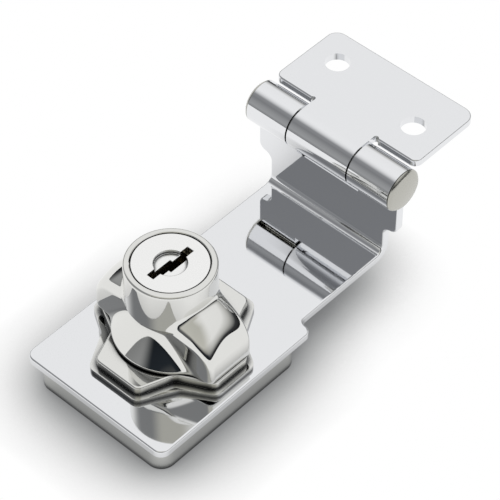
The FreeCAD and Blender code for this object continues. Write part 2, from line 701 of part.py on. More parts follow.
screws = []
for number, (across, along) in enumerate((("seat_screw_at", "0"), ("0", "seat_screw_at"),
                                          ("-seat_screw_at", "0"), ("0", "-seat_screw_at")), start=1):
    screw = new_body(f"seat_screw_{number}", x=across, y=along, z="plate_under")
    screw_side = new_sketch(screw, f"screw_side_{number}", "XZ_Plane")
    outline(
        screw_side,
        ("0", "0"),
        ("seat_screw_shank + seat_screw_sink", "0"),
        ("seat_screw_shank", "seat_screw_sink"),
        ("seat_screw_shank", "seat_screw_length"),
        ("0", "seat_screw_length"),
    )
    turned(screw, "Revolution", f"screw_turned_{number}", screw_side, (origin_part(screw, "Z_Axis"), [""]))
    screws.append(screw)
screw_group = doc.addObject("Part::Compound", "seat_screws")
screw_group.Label = "seat_screws"
screw_group.Links = screws

# Knob: one wing and its twin, then the turned cylinder, scoop, skirt and hub, then the bores

knob = new_body("knob_shell")
wing_plan = new_sketch(knob, "wing_plan", "XY_Plane", "knob_bottom")
outline(
    wing_plan,
    ("0", "-wing_root"),
    ("wing_reach", "-wing_tip"),
    ("wing_reach", "wing_tip"),
    ("0", "wing_root"),
)
step(knob, "Pad", "wing_block", wing_plan, Length="knob_top - knob_bottom")
wing_side = new_sketch(knob, "wing_side", "XZ_Plane")
outline(
    wing_side,
    ("0", "wing_top"),
    ("wing_shoulder_x", "wing_shoulder_z"),
    ("wing_reach", "knob_bottom", "wing_bow", "right"),
    ("plate_width", "knob_bottom"),
    ("plate_width", "2 * knob_top"),
    ("0", "2 * knob_top"),
)
wing = cut_through(knob, "wing_top_cut", wing_side)


def wing_shoulder(edge):
    """True for the edge across the wing where its slope turns down."""
    box = edge.BoundBox
    across = box.XLength < 0.001 and box.YLength > 0.1
    return across and abs(box.XMax - value("wing_shoulder_x")) < 0.01


def wing_rim(edge):
    """True for the edges along the wing's slope and down its end."""
    box = edge.BoundBox
    return box.XMax > 0.1 and box.ZMax > value("knob_bottom + 0.01") and box.ZLength > 0.01


wing = round_edges(knob, "wing_turned_down", wing, "wing_turn", wing_shoulder)
round_edges(knob, "wing_rims", wing, "wing_edge", wing_rim)
repeat_round(knob, "wings", [], 2)
knob_side = new_sketch(knob, "knob_side", "XZ_Plane")
outline(
    knob_side,
    ("0", "hub_bottom"),
    ("hub", "hub_bottom"),
    ("hub", "knob_bottom"),
    ("skirt_radius", "knob_bottom"),
    ("skirt_radius", "knob_bottom + skirt_edge"),
    ("knob_radius", "scoop_top", "scoop_radius", "right"),
    ("knob_radius", "knob_top - knob_rim"),
    ("knob_radius - knob_rim", "knob_top", "knob_rim", "left"),
    ("0", "knob_top"),
)
turned(knob, "Revolution", "knob_turned", knob_side, (origin_part(knob, "Z_Axis"), [""]))
journal_plan = new_sketch(knob, "journal_plan", "XY_Plane", "washer_top")
circle(journal_plan, "journal")
step(knob, "Pad", "journal_pad", journal_plan, Length="hub_bottom - washer_top")
tang_plan = new_sketch(knob, "tang_plan", "XY_Plane", "catch_bottom")
outline(tang_plan, *boxed("-tang / 2", "-tang / 2", "tang / 2", "tang / 2"))
step(knob, "Pad", "tang_pad", tang_plan, Length="washer_top - catch_bottom")
bore_plan = new_sketch(knob, "bore_plan", "XY_Plane", "lock_floor")
circle(bore_plan, "lock_bore")
step(knob, "Pocket", "lock_bore_cut", bore_plan, Length="knob_top", Reversed=True)
mouth_plan = new_sketch(knob, "mouth_plan", "XY_Plane", "sleeve_top")
circle(mouth_plan, "face_bore")
step(knob, "Pocket", "face_bore_cut", mouth_plan, Length="knob_top", Reversed=True)
channel_plan = new_sketch(knob, "channel_plan", "XY_Plane", "channel_bottom")
outline(
    channel_plan,
    ("bolt_nose + bolt_play", "-hub - bolt_thick"),
    ("bolt_nose + bolt_play", "-bolt_shoulder - bolt_throw - bolt_play"),
    ("bolt_half + bolt_play", "-bolt_shoulder - bolt_throw - bolt_play"),
    ("bolt_half + bolt_play", "hub + bolt_thick"),
    ("-bolt_half - bolt_play", "hub + bolt_thick"),
    ("-bolt_half - bolt_play", "-bolt_shoulder - bolt_throw - bolt_play"),
    ("-bolt_nose - bolt_play", "-bolt_shoulder - bolt_throw - bolt_play"),
    ("-bolt_nose - bolt_play", "-hub - bolt_thick"),
)
step(knob, "Pocket", "bolt_channel", channel_plan, Length="bolt_thick + 2 * bolt_play", Reversed=True)
drive_plan = new_sketch(knob, "drive_plan", "XY_Plane", "channel_bottom")
circle(drive_plan, "drive_hole")
step(knob, "Pocket", "drive_hole_cut", drive_plan, Length="lock_floor - channel_bottom + bolt_play", Reversed=True)
tapping = new_sketch(knob, "tapping", "XY_Plane", "catch_bottom")
circle(tapping, "catch_screw_shank")
step(knob, "Pocket", "tapped_tang", tapping, Length="catch_screw_length", Reversed=True)
pin_hole = new_sketch(knob, "pin_hole", "XZ_Plane")
circle(pin_hole, "housing_pin_radius", "0", "housing_pin_at")
step(knob, "Pocket", "pin_hole_cut", pin_hole, Length="skirt_radius")

# Housing sleeve of the wafer lock, with grooves where the key can be drawn out

sleeve = new_body("cylinder_housing")
sleeve_plan = new_sketch(sleeve, "sleeve_plan", "XY_Plane", "sleeve_bottom")
circle(sleeve_plan, "sleeve_radius")
circle(sleeve_plan, "plug_radius + turn_play")
step(sleeve, "Pad", "sleeve_pad", sleeve_plan, Length="sleeve_top - sleeve_bottom")
GROOVE_HALF = "wafer_half + 2 * wafer_play"
for number, (across, along) in enumerate(((GROOVE_HALF, "sleeve_groove"), ("sleeve_groove", GROOVE_HALF))):
    groove_plan = new_sketch(sleeve, f"groove_plan_{number}", "XY_Plane", "wafer_first - 3.5 * wafer_pitch")
    outline(groove_plan, *boxed(f"-({across})", f"-({along})", across, along))
    step(sleeve, "Pocket", f"wafer_groove_{number}", groove_plan, Length="4 * wafer_pitch", Reversed=True)
sleeve_pin_hole = new_sketch(sleeve, "sleeve_pin_hole", "XZ_Plane", "-housing_pin_in")
circle(sleeve_pin_hole, "housing_pin_radius", "0", "housing_pin_at")
step(sleeve, "Pocket", "sleeve_pin_cut", sleeve_pin_hole, Length="sleeve_radius")

pin_body = new_body("housing_pin")
pin_plan = new_sketch(pin_body, "pin_plan", "XZ_Plane", "-housing_pin_out")
circle(pin_plan, "housing_pin_radius", "0", "housing_pin_at")
step(pin_body, "Pad", "pin_pad", pin_plan, Length="housing_pin_out - housing_pin_in")

# Key plug with its face, clip, wafers and springs

face = new_body("plug_face")
face_plan = new_sketch(face, "face_plan", "XY_Plane", "face_bottom")
circle(face_plan, "face_radius")
step(face, "Pad", "face_pad", face_plan, Length="face_thick")
pit_plan = new_sketch(face, "pit_plan", "XY_Plane", "face_top")
circle(pit_plan, "face_pit")
step(face, "Pocket", "face_pit_cut", pit_plan, Length="face_pit_depth")
key_slot = new_sketch(face, "key_slot", "XY_Plane")
outline(
    key_slot,
    ("-slot_width / 2", "-slot_length / 2"),
    ("slot_width / 2 - slot_shift", "-slot_length / 2"),
    ("slot_width / 2 - slot_shift", "-slot_lap"),
    ("slot_width / 2", "-slot_lap"),
    ("slot_width / 2", "slot_length / 2"),
    ("slot_shift - slot_width / 2", "slot_length / 2"),
    ("slot_shift - slot_width / 2", "slot_lap"),
    ("-slot_width / 2", "slot_lap"),
)
cut_through(face, "key_slot_cut", key_slot)

plug = new_body("key_plug")
plug_side = new_sketch(plug, "plug_side", "XZ_Plane")
outline(
    plug_side,
    ("0", "tail_bottom"),
    ("tail_radius", "tail_bottom"),
    ("tail_radius", "sleeve_bottom - clip_thick - 2 * turn_play"),
    ("clip_groove", "sleeve_bottom - clip_thick - 2 * turn_play"),
    ("clip_groove", "sleeve_bottom"),
    ("plug_radius", "sleeve_bottom"),
    ("plug_radius", "face_bottom"),
    ("0", "face_bottom"),
)
turned(plug, "Revolution", "plug_turned", plug_side, (origin_part(plug, "Z_Axis"), [""]))
drive = new_sketch(plug, "drive_circle", "XY_Plane", "channel_bottom + bolt_play")
circle(drive, "drive_radius", "-drive_y", "drive_y")
step(plug, "Pad", "drive_pin", drive, Length="tail_bottom - channel_bottom - bolt_play")
keyway = new_sketch(plug, "keyway", "XY_Plane", "keyway_bottom")
outline(keyway, *boxed("-slot_width / 2", "-keyway_length / 2", "slot_width / 2", "keyway_length / 2"))
step(plug, "Pocket", "keyway_cut", keyway, Length="knob_top - keyway_bottom", Reversed=True)


def wafer_room(side):
    """The outline of a wafer slot with the pocket for its lug and spring on one side."""
    corners = (
        ("-wafer_half - wafer_play", "-plug_radius - lug"),
        ("wafer_half + wafer_play", "-plug_radius - lug"),
        ("wafer_half + wafer_play", "-lug_length / 2 - spring_length - wafer_play"),
        ("wafer_half + lug + wafer_play", "-lug_length / 2 - spring_length - wafer_play"),
        ("wafer_half + lug + wafer_play", "lug_length / 2 + wafer_lift + wafer_play"),
        ("wafer_half + wafer_play", "lug_length / 2 + wafer_lift + wafer_play"),
        ("wafer_half + wafer_play", "plug_radius + lug"),
        ("-wafer_half - wafer_play", "plug_radius + lug"),
    )
    return [(f"{side} * ({across})", f"{side} * ({along})") for across, along in corners]


WAFERS = [(number, 1 if number % 2 else -1, f"wafer_first - {number - 1} * wafer_pitch") for number in range(1, 5)]
for number, side, height in WAFERS:
    room = new_sketch(plug, f"wafer_room_{number}", "XY_Plane", f"{height} - wafer_thick / 2 - wafer_play")
    outline(room, *wafer_room(side))
    step(plug, "Pocket", f"wafer_slot_{number}", room, Length="wafer_thick + 2 * wafer_play", Reversed=True)

clip = new_body("plug_clip")
clip_plan = new_sketch(clip, "clip_plan", "XY_Plane", "sleeve_bottom - clip_thick - turn_play")
circle(clip_plan, "clip_radius")
circle(clip_plan, "clip_groove + turn_play")
step(clip, "Pad", "clip_pad", clip_plan, Length="clip_thick")

for number, side, height in WAFERS:
    wafer = new_body(f"wafer_{number}")
    wafer_plan = new_sketch(wafer, f"wafer_plan_{number}", "XY_Plane", f"{height} - wafer_thick / 2")
    corners = (
        ("-wafer_half", "-wafer_length / 2"),
        ("wafer_half", "-wafer_length / 2"),
        ("wafer_half", "-lug_length / 2"),
        ("wafer_half + lug", "-lug_length / 2"),
        ("wafer_half + lug", "lug_length / 2"),
        ("wafer_half", "lug_length / 2"),
        ("wafer_half", "wafer_length / 2"),
        ("-wafer_half", "wafer_length / 2"),
    )
    outline(wafer_plan, *((f"{side} * ({across})", f"{side} * ({along})") for across, along in corners))
    outline(wafer_plan, *boxed("-wafer_window_half", "-wafer_window_length / 2",
                               "wafer_window_half", "wafer_window_length / 2"))
    step(wafer, "Pad", f"wafer_pad_{number}", wafer_plan, Length="wafer_thick")

springs = []
for number, side, height in WAFERS:
    helix = doc.addObject("Part::Helix", f"coil_{number}")
    bind(helix, "Radius", "spring_radius")
    bind(helix, "Height", "spring_length - 2 * spring_wire")
    bind(helix, "Pitch", "(spring_length - 2 * spring_wire) / spring_turns")
    wire = doc.addObject("Part::Circle", f"wire_{number}")
    bind(wire, "Radius", "spring_wire")
    wire.Placement = Placement(Vector(0, 0, 0), Rotation(Vector(1, 0, 0), 90))
    bind(wire, "Placement.Base.x", "spring_radius")
    spring = doc.addObject("Part::Sweep", f"wafer_spring_{number}")
    spring.Sections = [wire]
    spring.Spine = (helix, ["Edge1"])
    spring.Solid = True
    spring.Frenet = True
    spring.Placement = Placement(Vector(0, 0, 0), Rotation(Vector(1, 0, 0), 90 * side))
    bind(spring, "Placement.Base.x", f"{side} * spring_x")
    bind(spring, "Placement.Base.y", f"-{side} * (lug_length / 2 + spring_wire)")
    bind(spring, "Placement.Base.z", height)
    springs.append(spring)
spring_group = doc.addObject("Part::Compound", "wafer_springs")
spring_group.Label = "wafer_springs"
spring_group.Links = springs

# Locking bolt in the hub, drawn by the plug's eccentric pin

bolt = new_body("locking_bolt")
bolt_plan = new_sketch(bolt, "bolt_plan", "XY_Plane", "bolt_bottom")
outline(
    bolt_plan,
    ("bolt_nose", "-bolt_tip"),
    ("bolt_nose", "-bolt_shoulder"),
    ("bolt_half", "-bolt_shoulder"),
    ("bolt_half", "bolt_tail"),
    ("-bolt_half", "bolt_tail"),
    ("-bolt_half", "-bolt_shoulder"),
    ("-bolt_nose", "-bolt_shoulder"),
    ("-bolt_nose", "-bolt_tip"),
)
outline(bolt_plan, *boxed("-drive_offset - drive_radius - drive_play", "drive_y - drive_radius - drive_play",
                          "drive_radius + drive_play - drive_y", "drive_y + drive_radius + drive_play"))
step(bolt, "Pad", "bolt_pad", bolt_plan, Length="bolt_thick")

# Catch under the plate

catch = new_body("catch_bar")
bar_plan = new_sketch(catch, "bar_plan", "XY_Plane", "catch_bottom")
outline(bar_plan, *boxed("-catch_width / 2", "-catch_length / 2", "catch_width / 2", "catch_length / 2"))
step(catch, "Pad", "bar_pad", bar_plan, Length="catch_thick")
boss_plan = new_sketch(catch, "boss_plan", "XY_Plane", "catch_bottom")
circle(boss_plan, "catch_boss")
step(catch, "Pad", "boss_pad", boss_plan, Length="washer_bottom - catch_bottom")
square = new_sketch(catch, "square_hole", "XY_Plane")
outline(square, *boxed("-tang / 2 - tang_play", "-tang / 2 - tang_play", "tang / 2 + tang_play", "tang / 2 + tang_play"))
cut_through(catch, "square_hole_cut", square)

washer = new_body("catch_washer")
washer_plan = new_sketch(washer, "washer_plan", "XY_Plane", "washer_bottom")
circle(washer_plan, "washer_radius")
circle(washer_plan, "tang * sqrt(0.5) + turn_play")
step(washer, "Pad", "washer_pad", washer_plan, Length="washer_thick")

catch_screw = new_body("catch_screw")
catch_screw_side = new_sketch(catch_screw, "catch_screw_side", "XZ_Plane")
outline(
    catch_screw_side,
    ("0", "catch_bottom - catch_screw_rise"),
    ("catch_screw_head", "catch_bottom - catch_screw_rise"),
    ("catch_screw_head", "catch_bottom"),
    ("catch_screw_shank", "catch_bottom"),
    ("catch_screw_shank", "catch_bottom + catch_screw_length"),
    ("0", "catch_bottom + catch_screw_length"),
)
turned(catch_screw, "Revolution", "catch_screw_turned", catch_screw_side,
       (origin_part(catch_screw, "Z_Axis"), [""]))

# Check every object, then write each piece

NODES = (
    "hinge_leaf", "strike_base", "hasp_plate", "hinge_pin", "pin_cap", "knob_seat", "seat_screws",
    "knob_shell", "cylinder_housing", "housing_pin", "catch_bar", "catch_washer", "catch_screw",
    "key_plug", "plug_face", "plug_clip", "wafer_springs", "wafer_1", "wafer_2", "wafer_3", "wafer_4",
    "locking_bolt",
)
doc.recompute()
for thing in doc.Objects:
    if "Invalid" in thing.State or "Error" in thing.State:
        raise RuntimeError(f"{thing.Label} failed: {thing.State}")
os.makedirs("parts", exist_ok=True)
for name in NODES:
    shape = doc.getObject(name).Shape
    if shape.isNull() or not shape.isValid():
        raise RuntimeError(f"{name} has no valid shape")
    print(name, len(shape.Solids), "solids,", round(shape.Volume, 2), "mm3")
    shape.exportStep(os.path.join("parts", name + ".step"))
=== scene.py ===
import json
import logging
import math
from dataclasses import dataclass, field
from enum import Enum

import bpy
import numpy as np
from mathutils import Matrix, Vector


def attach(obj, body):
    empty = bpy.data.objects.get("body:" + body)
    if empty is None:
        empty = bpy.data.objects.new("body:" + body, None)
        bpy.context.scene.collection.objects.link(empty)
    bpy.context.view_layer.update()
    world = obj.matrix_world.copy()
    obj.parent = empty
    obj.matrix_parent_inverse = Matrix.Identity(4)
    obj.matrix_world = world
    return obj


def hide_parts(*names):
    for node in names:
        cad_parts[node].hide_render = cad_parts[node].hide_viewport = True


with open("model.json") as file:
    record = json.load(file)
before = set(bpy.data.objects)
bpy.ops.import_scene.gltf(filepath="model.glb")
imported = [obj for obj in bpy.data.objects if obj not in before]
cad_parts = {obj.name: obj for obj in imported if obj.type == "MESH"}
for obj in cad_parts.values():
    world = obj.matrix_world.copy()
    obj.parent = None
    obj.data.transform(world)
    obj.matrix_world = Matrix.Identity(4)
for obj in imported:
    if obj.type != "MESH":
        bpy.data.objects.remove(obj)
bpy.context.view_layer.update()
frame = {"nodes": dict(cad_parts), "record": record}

# Looks of a keyed hasp lock: mirror chrome on folded sheet and on zinc castings, a satin lock face,
# polished steel pin ends, and a wafer lock of graphite-dulled brass inside. Sizes of pieces are in
# millimetres, in the CAD frame: +Z up from the mounting surface, +Y towards the hinge, the knob's axis
# at x = y = 0.

MM = 0.001
# ambient occlusion rays for the painted shade in inside corners
CORNER_SHADE_SAMPLES = 12      # rays that feel for an inside corner
JOIN_MM = 0.002          # corners of triangles that lie nearer than this are one corner
SMOOTH_TURN = 34.0       # degrees: facets that turn less are shaded as one round face
BEVEL_TURN = 40.0        # degrees: edges that turn more are broken
BEVEL_SEGMENTS = 2
MIX_FIRST, MIX_SECOND, MIX_RESULT = 6, 7, 2      # a Mix node's sockets for colours

Pair = tuple[float, float]
Corner = tuple[float, float, float]
Stops = tuple[tuple[float, str], ...]

log = logging.getLogger("hasp_lock")


def linear(hex_colour: str) -> tuple[float, float, float, float]:
    """Turns an sRGB hex colour into Blender's linear colour, opaque.

    The sRGB curve is a straight line, value / 12.92, up to 0.04045, and a power of 2.4 above it.

    Args:
        hex_colour: Six hex digits after a number sign.

    Returns:
        Red, green, blue and alpha, linear.
    """
    parts = [int(hex_colour[start:start + 2], 16) / 255 for start in (1, 3, 5)]
    turned = [part / 12.92 if part <= 0.04045 else ((part + 0.055) / 1.055) ** 2.4 for part in parts]
    return (*turned, 1.0)


def add_node(tree: bpy.types.NodeTree, kind: str, inputs: dict[str | int, object] | None = None,
             **settings: object) -> bpy.types.Node:
    """Adds a node, sets its properties, and gives its inputs a value or a link.

    Args:
        tree: The node tree.
        kind: Blender's name for the kind of node.
        inputs: Socket name or number to a value, or to the output socket that feeds it.
        **settings: Properties of the node itself.

    Returns:
        The new node.
    """
    node = tree.nodes.new(kind)
    for name, setting in settings.items():
        setattr(node, name, setting)
    for name, source in (inputs or {}).items():
        if isinstance(source, bpy.types.NodeSocket):
            tree.links.new(source, node.inputs[name])
        else:
            node.inputs[name].default_value = source
    return node


def ramp(tree: bpy.types.NodeTree, value: bpy.types.NodeSocket, stops: Stops) -> bpy.types.NodeSocket:
    """Adds a colour ramp.

    Args:
        tree: The node tree.
        value: Socket with the value that is looked up.
        stops: Position and sRGB hex colour of each stop, in order.

    Returns:
        The socket with the colour.
    """
    made = add_node(tree, "ShaderNodeValToRGB", {"Fac": value})
    elements = made.color_ramp.elements
    while len(elements) < len(stops):
        elements.new(1.0)
    for element, (position, colour) in zip(elements, stops):
        element.position = position
        element.color = linear(colour)
    return made.outputs["Color"]


class Metal:
    """A material in the making: a bare metal shader, to which patterns are added."""

    def __init__(self, name: str, colour: str, roughness: float) -> None:
        """Starts the material.

        Args:
            name: The material's name.
            colour: sRGB hex colour of the open faces.
            roughness: Roughness before any pattern changes it.
        """
        self.material = bpy.data.materials.new(name)
        self.material.use_nodes = True
        self.tree = self.material.node_tree
        self.colour = colour
        self.shader = self.tree.nodes["Principled BSDF"]
        self.shader.inputs["Base Color"].default_value = linear(colour)
        self.shader.inputs["Metallic"].default_value = 1.0
        self.shader.inputs["Roughness"].default_value = roughness
        self.place = add_node(self.tree, "ShaderNodeTexCoord").outputs["Object"]

    def noise(self, width_mm: float, detail: float, stretch: Corner | None = None) -> bpy.types.NodeSocket:
        """Adds a soft random pattern.

        Args:
            width_mm: Rough width of one patch.
            detail: How many finer layers lie in it.
            stretch: Scale of the place along X, Y and Z, under 1 where the pattern is drawn out.

        Returns:
            The socket with the pattern, from 0 to 1.
        """
        place = self.place
        if stretch:
            drawn = add_node(self.tree, "ShaderNodeMapping", {"Vector": place, "Scale": stretch})
            place = drawn.outputs["Vector"]
        made = add_node(self.tree, "ShaderNodeTexNoise", {
            "Vector": place, "Scale": 1 / (width_mm * MM), "Detail": detail,
        })
        return made.outputs["Fac"]

    def vary_roughness(self, pattern: bpy.types.NodeSocket, roughness: Pair, band: Pair = (0.0, 1.0)) -> None:
        """Makes the roughness follow a pattern.

        Args:
            pattern: Socket with the pattern.
            roughness: Roughness at the low end and at the high end.
            band: Values of the pattern at those two ends.
        """
        rough = add_node(self.tree, "ShaderNodeMapRange", {
            "Value": pattern, "From Min": band[0], "From Max": band[1],
            "To Min": roughness[0], "To Max": roughness[1],
        })
        self.tree.links.new(rough.outputs["Result"], self.shader.inputs["Roughness"])

    def raise_surface(self, pattern: bpy.types.NodeSocket, depth_mm: float) -> None:
        """Makes the surface rise and fall with a pattern.

        Args:
            pattern: Socket with the pattern.
            depth_mm: Height from its lowest to its highest value.
        """
        bump = add_node(self.tree, "ShaderNodeBump", {
            "Height": pattern, "Distance": depth_mm * MM, "Strength": 1.0,
        })
        self.tree.links.new(bump.outputs["Normal"], self.shader.inputs["Normal"])

    def paint_corner_shade(self, reach_mm: float) -> None:
        """Paints shade into the metal's colour in its inside corners: the less open sky ambient occlusion
        finds, the darker the base colour.

        Args:
            reach_mm: How far from a corner the painted shade is felt.
        """
        # painted shade: ambient occlusion, ramped from near black up to the metal's own colour, becomes the
        # base colour
        shut = add_node(self.tree, "ShaderNodeAmbientOcclusion", {"Distance": reach_mm * MM},
                        samples=CORNER_SHADE_SAMPLES)
        stops = ((0.3, "#101112"), (0.62, "#5A5B5C"), (0.85, self.colour))
        shade = ramp(self.tree, shut.outputs["AO"], stops)
        self.tree.links.new(shade, self.shader.inputs["Base Color"])


@dataclass(frozen=True)
class Waves:
    """The faint waves that polishing leaves, which make a mirror's lines run a little unevenly."""

    width_mm: float
    depth_mm: float


class Base(Enum):
    """What a plated finish lies on, with its waves: long on folded sheet, shorter on a zinc casting."""

    SHEET = Waves(14.0, 0.005)
    CASTING = Waves(6.0, 0.004)


@dataclass(frozen=True)
class BrightChrome:
    """Bright nickel-chrome plate, polished to a mirror: crisp black and white reflections."""

    base: Base
    colour: str = "#E6E7E9"
    roughness: float = 0.03
    smear: float = 0.035
    smear_mm: float = 5.0
    smear_band: Pair = (0.45, 0.75)
    # reach of the painted shade in inside corners, 0 for none
    corner_shade_mm: float = 0.0

    def material(self, name: str) -> bpy.types.Material:
        """Makes the material: a mirror with faint finger smears in its roughness, over shallow waves.

        Args:
            name: The material's name.

        Returns:
            The material.
        """
        metal = Metal(name, self.colour, self.roughness)
        smears = metal.noise(self.smear_mm, detail=3.0)
        metal.vary_roughness(smears, (self.roughness, self.roughness + self.smear), self.smear_band)
        waves = self.base.value
        metal.raise_surface(metal.noise(waves.width_mm, detail=1.0), waves.depth_mm)
        # painted shade in the inside corners
        if self.corner_shade_mm:
            metal.paint_corner_shade(self.corner_shade_mm)
        return metal.material


@dataclass(frozen=True)
class SatinMetal:
    """A metal with fine grain from turning, brushing or drawing: soft, wide highlights."""

    colour: str
    roughness: float
    grain_mm: float = 0.12
    grain_depth_mm: float = 0.002
    stretch: Corner = (1.0, 1.0, 1.0)
    # reach of the painted shade in inside corners, 0 for none
    corner_shade_mm: float = 0.0
    spread: float = 0.3

    def material(self, name: str) -> bpy.types.Material:
        """Makes the material: a metal with grain in its bump and its roughness, drawn out by stretch.

        Args:
            name: The material's name.

        Returns:
            The material.
        """
        metal = Metal(name, self.colour, self.roughness)
        grain = metal.noise(self.grain_mm, detail=4.0, stretch=self.stretch)
        metal.vary_roughness(grain, (self.roughness * (1 - self.spread), self.roughness * (1 + self.spread)))
        metal.raise_surface(grain, self.grain_depth_mm)
        # painted shade in the inside corners
        if self.corner_shade_mm:
            metal.paint_corner_shade(self.corner_shade_mm)
        return metal.material


FINISHES: dict[str, BrightChrome | SatinMetal] = {
    # nickel-chrome plate on rolled sheet: the plainest mirror, with long waves
    "plate_chrome": BrightChrome(Base.SHEET),
    # the same plate on polished zinc castings: a shade darker, a little more rippled, with painted shade in
    # its corners
    "cast_chrome": BrightChrome(Base.CASTING, "#DEDEDB", corner_shade_mm=2.2),
    # chrome over a finely turned face: near white, with no sharp reflections, and painted shade in its
    # corners
    "face_chrome": SatinMetal("#F0F0EF", 0.2, 0.25, 0.001, corner_shade_mm=1.0),
    # polished nickel-plated pin ends, warmer and softer than the chrome
    "pin_steel": SatinMetal("#B9B8B1", 0.2, 0.3, 0.001),
    # zinc-plated screws and washers: pale, slightly blue grey
    "screw_steel": SatinMetal("#BFC3C8", 0.28),
    # pressed steel with its rolling grain along its length: a dull sheen with fine streaks
    "catch_steel": SatinMetal("#B4B5B6", 0.3, 0.15, 0.003, (1.0, 0.1, 1.0)),
    # drawn spring wire: plain dull grey
    "spring_steel": SatinMetal("#A8A8A8", 0.3),
    # machined brass, dulled grey by years of graphite, so that the key slot looks dark
    "lock_brass": SatinMetal("#8C8470", 0.34, 0.15, 0.002, (1.0, 1.0, 0.1)),
}


def smooth_faces() -> bpy.types.NodeTree:
    """Makes the geometry node group that joins a CAD node's loose triangles and keeps its true edges sharp.

    Returns:
        The node group.
    """
    tree = bpy.data.node_groups.new("smooth_faces", "GeometryNodeTree")
    tree.interface.new_socket("Geometry", in_out="INPUT", socket_type="NodeSocketGeometry")
    tree.interface.new_socket("Geometry", in_out="OUTPUT", socket_type="NodeSocketGeometry")
    given = add_node(tree, "NodeGroupInput")
    joined = add_node(tree, "GeometryNodeMergeByDistance", {
        "Geometry": given.outputs["Geometry"], "Distance": JOIN_MM * MM,
    })
    smoothed = add_node(tree, "GeometryNodeSetShadeSmooth", {
        "Geometry": joined.outputs["Geometry"], "Shade Smooth": True,
    }, domain="FACE")
    angle = add_node(tree, "GeometryNodeInputMeshEdgeAngle")
    gentle = add_node(tree, "FunctionNodeCompare", {
        "A": angle.outputs["Unsigned Angle"], "B": math.radians(SMOOTH_TURN),
    }, data_type="FLOAT", operation="LESS_THAN")
    edged = add_node(tree, "GeometryNodeSetShadeSmooth", {
        "Geometry": smoothed.outputs["Geometry"], "Shade Smooth": gentle.outputs["Result"],
    }, domain="EDGE")
    add_node(tree, "NodeGroupOutput", {"Geometry": edged.outputs["Geometry"]})
    return tree


@dataclass
class Bench:
    """What every sub-assembly needs at hand: the finishes and the way CAD nodes are dressed."""

    materials: dict[str, bpy.types.Material] = field(init=False)
    smoothing: bpy.types.NodeTree = field(init=False)

    def __post_init__(self) -> None:
        """Makes the materials and the smoothing group."""
        self.materials = {slot: finish.material(slot) for slot, finish in FINISHES.items()}
        self.smoothing = smooth_faces()

    def slot_of(self, name: str) -> str:
        """The material slot that the record gives a node."""
        return next(row["material_slot"] for row in frame["record"]["subparts"] if row["node"] == name)

    def dress(self, name: str, edge_mm: float) -> None:
        """Gives a CAD node its finish, breaks its sharp edges and shades its facets as round faces.

        Args:
            name: The CAD node.
            edge_mm: Width of the broken edges, or 0 to leave them sharp.
        """
        node = frame["nodes"][name]
        node.data.materials.clear()
        node.data.materials.append(self.materials[self.slot_of(name)])
        node.modifiers.new("smooth_faces", "NODES").node_group = self.smoothing
        if edge_mm:
            bevel = node.modifiers.new("broken_edges", "BEVEL")
            bevel.width = edge_mm * MM
            bevel.segments = BEVEL_SEGMENTS
            bevel.limit_method = "ANGLE"
            bevel.angle_limit = math.radians(BEVEL_TURN)
            bevel.use_clamp_overlap = True
            bevel.harden_normals = True
        node.modifiers.new("weighted_normals", "WEIGHTED_NORMAL").keep_sharp = True
        log.info("dressed %s", name)

    def dress_all(self, edges: dict[str, float]) -> None:
        """Dresses several CAD nodes, each with the width of its broken edges."""
        for name, edge_mm in edges.items():
            self.dress(name, edge_mm)

    def piece(self, name: str, grid: np.ndarray, body: str, node: str, sharp: float = 40.0,
              cutters: tuple[np.ndarray, ...] = ()) -> None:
        """Makes a closed piece from a grid of points that stands for a CAD node.

        Args:
            name: The new piece's name.
            grid: Points in millimetres, as closed_mesh takes them.
            body: The CAD body that it rides on.
            node: The CAD node that it stands for.
            sharp: Edges that turn more than this many degrees stay sharp.
            cutters: Grids of closed forms that are cut out of it.
        """
        made = bpy.data.objects.new(name, closed_mesh(name, grid))
        bpy.context.scene.collection.objects.link(made)
        if cutters:
            cut_out(made, cutters)
        mesh = made.data
        mesh.shade_smooth()
        mesh.set_sharp_from_angle(angle=math.radians(sharp))
        mesh.materials.clear()
        mesh.materials.append(self.materials[self.slot_of(node)])
        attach(made, body)
        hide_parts(node)
        log.info("built %s, %d faces", name, len(mesh.polygons))


def closed_mesh(name: str, grid: np.ndarray) -> bpy.types.Mesh:
    """Makes a closed surface from a grid whose rows run round it.

    The first and last rows are one point each and close the surface at both poles; between them every
    row is joined to the next by quads, and its last column to its first.

    Args:
        name: The mesh's name.
        grid: Points in millimetres, as rows by columns by three; rows climb and columns turn left.

    Returns:
        The mesh, in metres, with faces outward.
    """
    rows, columns = grid.shape[:2]
    points = np.vstack([grid[0, :1], grid[1:-1].reshape(-1, 3), grid[-1, :1]]) * MM
    index = 1 + np.arange((rows - 2) * columns).reshape(rows - 2, columns)
    after = np.roll(index, -1, axis=1)
    walls = np.stack([index[:-1], after[:-1], after[1:], index[1:]], axis=-1).reshape(-1, 4)
    first = np.stack([np.zeros(columns, int), after[0], index[0]], axis=-1)
    last = np.stack([np.full(columns, len(points) - 1), index[-1], after[-1]], axis=-1)
    mesh = bpy.data.meshes.new(name)
    mesh.from_pydata(points.tolist(), [], walls.tolist() + first.tolist() + last.tolist())
    mesh.validate()
    return mesh


def cut_out(made: bpy.types.Object, cutters: tuple[np.ndarray, ...]) -> None:
    """Cuts closed forms out of an object and keeps the result as its mesh.

    Args:
        made: The object.
        cutters: Grids as closed_mesh takes them.
    """
    for number, grid in enumerate(cutters):
        cutter = bpy.data.objects.new("cutter", closed_mesh(f"cutter_{number}", grid))
        bpy.context.scene.collection.objects.link(cutter)
        cut = made.modifiers.new("cut", "BOOLEAN")
        cut.object = cutter
        cut.operation = "DIFFERENCE"
        cut.solver = "EXACT"
        ready = made.evaluated_get(bpy.context.evaluated_depsgraph_get())
        before = made.data
        made.data = bpy.data.meshes.new_from_object(ready)
        made.modifiers.remove(cut)
        bpy.data.meshes.remove(before)
        bpy.data.meshes.remove(cutter.data)


